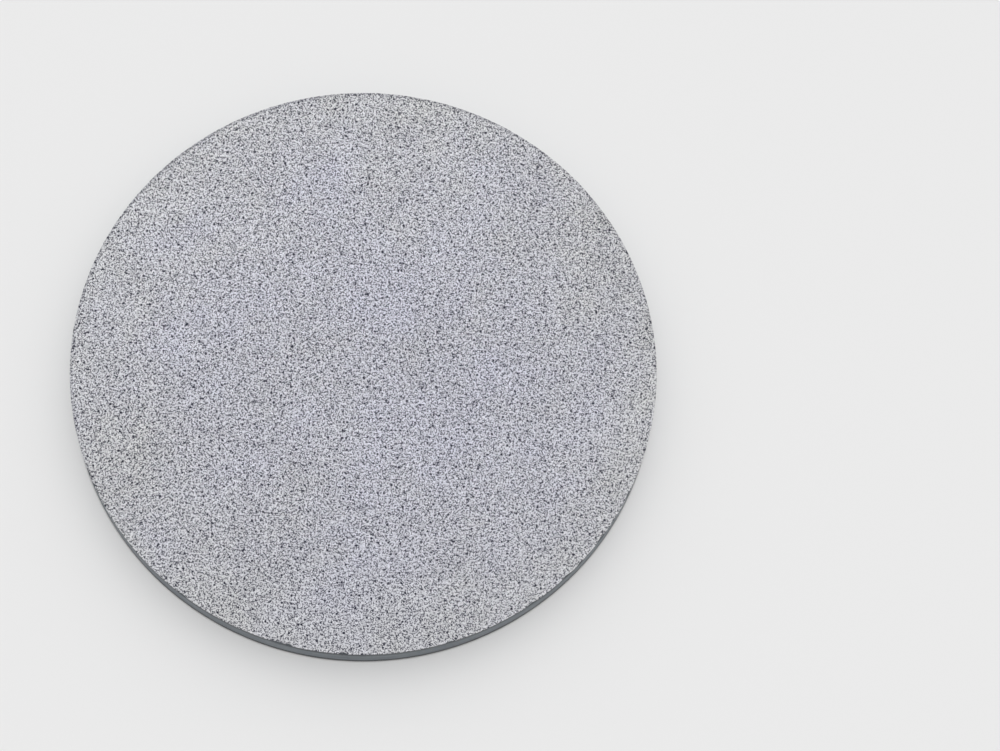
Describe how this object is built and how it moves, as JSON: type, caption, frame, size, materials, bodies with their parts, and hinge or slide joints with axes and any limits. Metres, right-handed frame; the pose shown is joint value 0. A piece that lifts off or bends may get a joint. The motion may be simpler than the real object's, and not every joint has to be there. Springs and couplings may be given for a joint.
{
  "type": "sputtering target",
  "caption": "Plain round ceramic sputtering target: a thin flat disc ground all over, with lightly broken rims and small handling nicks in the front rim.",
  "frame": {"origin": "centre of the back face, on the disc's axis, so the disc rests on the plane Z = 0", "axes": "+Z along the disc's axis, out of the front face that is sputtered; X and Y lie in the face, and -Y is the side that is nearest in the picture"},
  "size_m": [0.0508, 0.0508, 0.003],
  "materials": {
    "sintered_ceramic": "sintered and ground, unglazed, light grey with fine open pits on the faces and a darker smooth wall"
  },
  "bodies": {
    "root": {"target_disc": "sintered_ceramic"}
  },
  "joints": []
}
